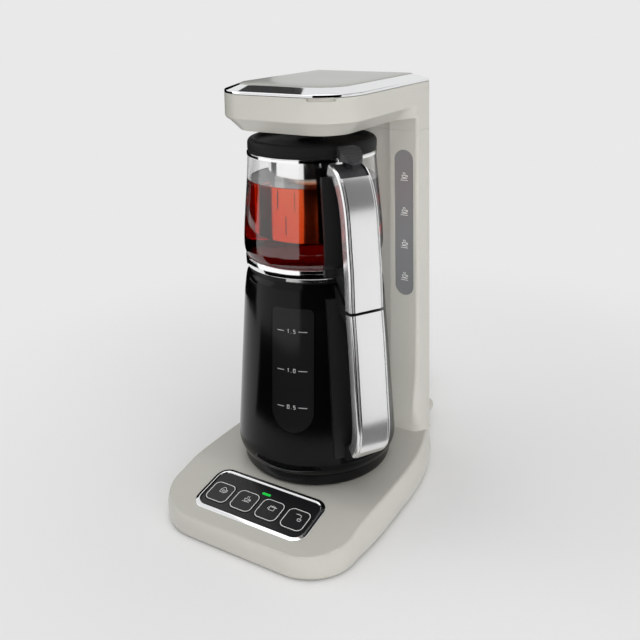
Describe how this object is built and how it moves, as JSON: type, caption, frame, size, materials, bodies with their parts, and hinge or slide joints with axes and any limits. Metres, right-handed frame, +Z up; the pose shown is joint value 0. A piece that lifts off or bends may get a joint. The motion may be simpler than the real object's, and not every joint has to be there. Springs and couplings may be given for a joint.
{
  "type": "electric tea maker",
  "caption": "Electric tea maker: black kettle with a glass teapot on its mouth, on a wide base with a key panel, a water column and an overhanging pouring head.",
  "frame": {"origin": "middle of the base footprint on the table, under the rubber feet", "axes": "+Z up, +X to the right as the control panel faces the user, +Y from the control panel to the water column"},
  "size_m": [0.256, 0.4671, 0.4184],
  "materials": {
    "housing": "gloss",
    "black": "gloss",
    "smoke": "satin",
    "window": "gloss, translucent",
    "chrome": "polished",
    "steel": "brushed",
    "rubber": "matt",
    "glass": "clear",
    "tank": "translucent",
    "board": "matt",
    "led": "translucent",
    "cord": "satin"
  },
  "bodies": {
    "base": {"base_shell": "housing", "base_cover": "black", "feet": "rubber", "kettle_seat": "smoke", "seat_connector": "black", "panel_bezel": "chrome", "panel_fascia": "black", "led_lens": "led", "control_board": "board", "column_shell": "housing", "rear_cover": "housing", "level_window": "window", "water_tank": "tank", "head_shell": "housing", "spout": "black", "lid_pin": "steel", "strain_relief": "housing", "cord_run": "cord", "cord_coil": "cord", "cord_tail": "cord", "cord_tie": "rubber", "plug": "cord"},
    "kettle": {"kettle_body": "black", "kettle_window": "window", "kettle_base_ring": "black", "kettle_vessel": "steel", "heating_plate": "steel", "kettle_socket": "smoke", "kettle_collar": "black", "kettle_handle_core": "black", "kettle_handle_shell": "chrome"},
    "teapot": {"pot_glass": "glass", "pot_foot_ring": "steel", "pot_rim": "steel", "pot_handle_core": "black", "pot_handle_shell": "chrome", "pot_lid": "black", "infuser": "steel", "lever_pin": "steel"},
    "lever": {"thumb_lever": "smoke"},
    "filling_lid": {"top_frame": "chrome", "lid_plate": "housing", "lid_seal": "rubber"},
    "key_a": {"key_1": "black"},
    "key_b": {"key_2": "black"},
    "key_c": {"key_3": "black"},
    "key_d": {"key_4": "black"}
  },
  "joints": [
    {"name": "kettle_lift", "type": "slide", "parent": "base", "child": "kettle", "axis": [0, 0, 1], "range_m": [0, 0.0045]},
    {"name": "teapot_lift", "type": "slide", "parent": "kettle", "child": "teapot", "axis": [0, 0, 1], "range_m": [0, 0.0025]},
    {"name": "lever_press", "type": "hinge", "parent": "teapot", "child": "lever", "pos_m": [0.05932, -0.02424, 0.3514], "axis": [0.515, 0.8572, 0], "range_deg": [0, 10], "stiffness_Nm_per_rad": 0.05, "springref_deg": -11.46},
    {"name": "filling_lid_hinge", "type": "hinge", "parent": "base", "child": "filling_lid", "pos_m": [0, 0.1339, 0.4098], "axis": [-1, 0, 0], "range_deg": [0, 80]},
    {"name": "key_a_press", "type": "slide", "parent": "base", "child": "key_a", "axis": [0, 0.1564, -0.9877], "range_m": [0, 0.0008], "stiffness_N_per_m": 300, "springref_m": -0.001},
    {"name": "key_b_press", "type": "slide", "parent": "base", "child": "key_b", "axis": [0, 0.1564, -0.9877], "range_m": [0, 0.0008], "stiffness_N_per_m": 300, "springref_m": -0.001},
    {"name": "key_c_press", "type": "slide", "parent": "base", "child": "key_c", "axis": [0, 0.1564, -0.9877], "range_m": [0, 0.0008], "stiffness_N_per_m": 300, "springref_m": -0.001},
    {"name": "key_d_press", "type": "slide", "parent": "base", "child": "key_d", "axis": [0, 0.1564, -0.9877], "range_m": [0, 0.0008], "stiffness_N_per_m": 300, "springref_m": -0.001}
  ]
}
